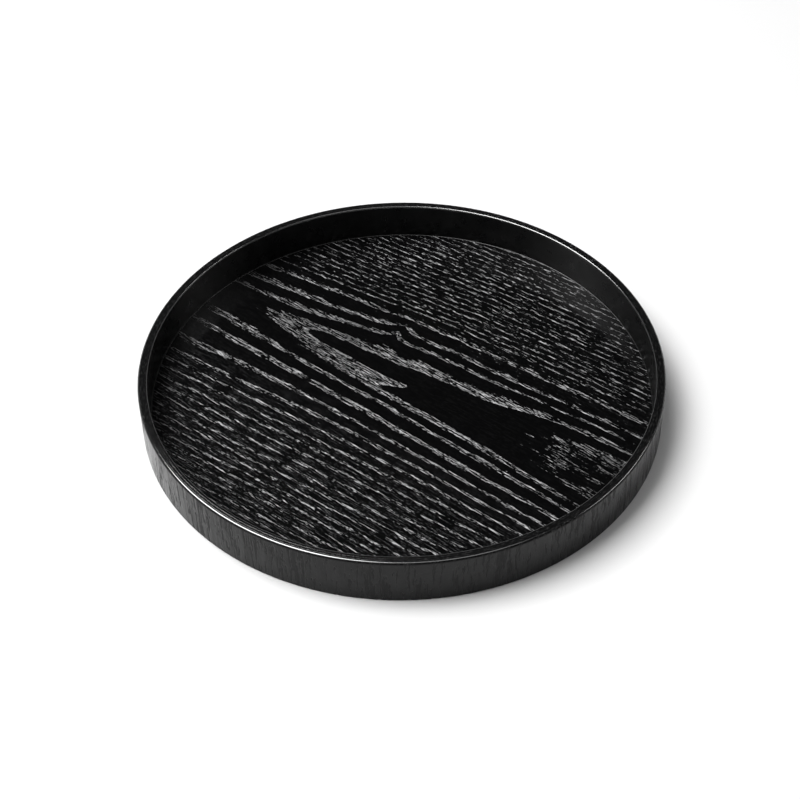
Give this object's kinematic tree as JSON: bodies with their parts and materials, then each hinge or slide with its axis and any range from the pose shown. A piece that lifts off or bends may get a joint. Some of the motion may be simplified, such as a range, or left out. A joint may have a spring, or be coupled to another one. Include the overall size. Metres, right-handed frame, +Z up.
{
  "type": "serving tray",
  "caption": "Round, low-walled wooden serving tray: a bent laminated hoop with a veneered plywood floor let into its foot, finished in black open-grain lacquer.",
  "frame": {"origin": "centre of the ring that the tray stands on, at the level of the table", "axes": "+Z up, out of the tray's open side; X and Y lie in the table's plane, and the floor's grain runs from -X +Y to +X -Y"},
  "size_m": [0.3, 0.3, 0.029],
  "materials": {
    "lacquered_floor_veneer": "satin black lacquer over open-pored, flat-sawn ash, pores catching the light as fine grey lines",
    "lacquered_back_veneer": "thin matt black lacquer over straight-grained veneer",
    "lacquered_rim_veneer": "semi-gloss black lacquer over ash with short upright pores",
    "lacquered_rim_lining": "smooth semi-gloss black lacquer, pores filled",
    "lacquered_ply_edge": "semi-gloss black lacquer over the rounded edge of the bent plies, glue lines just showing",
    "bare_ply": "unfinished birch ply, hidden inside the floor panel"
  },
  "bodies": {
    "root": {"rim_outer_veneer": "lacquered_rim_veneer", "rim_outer_ply": "lacquered_ply_edge", "rim_middle_ply": "lacquered_ply_edge", "rim_inner_ply": "lacquered_ply_edge", "rim_inner_veneer": "lacquered_rim_lining", "floor_face_veneer": "lacquered_floor_veneer", "floor_upper_crossband": "bare_ply", "floor_core_ply": "bare_ply", "floor_lower_crossband": "bare_ply", "floor_back_veneer": "lacquered_back_veneer"}
  },
  "joints": []
}
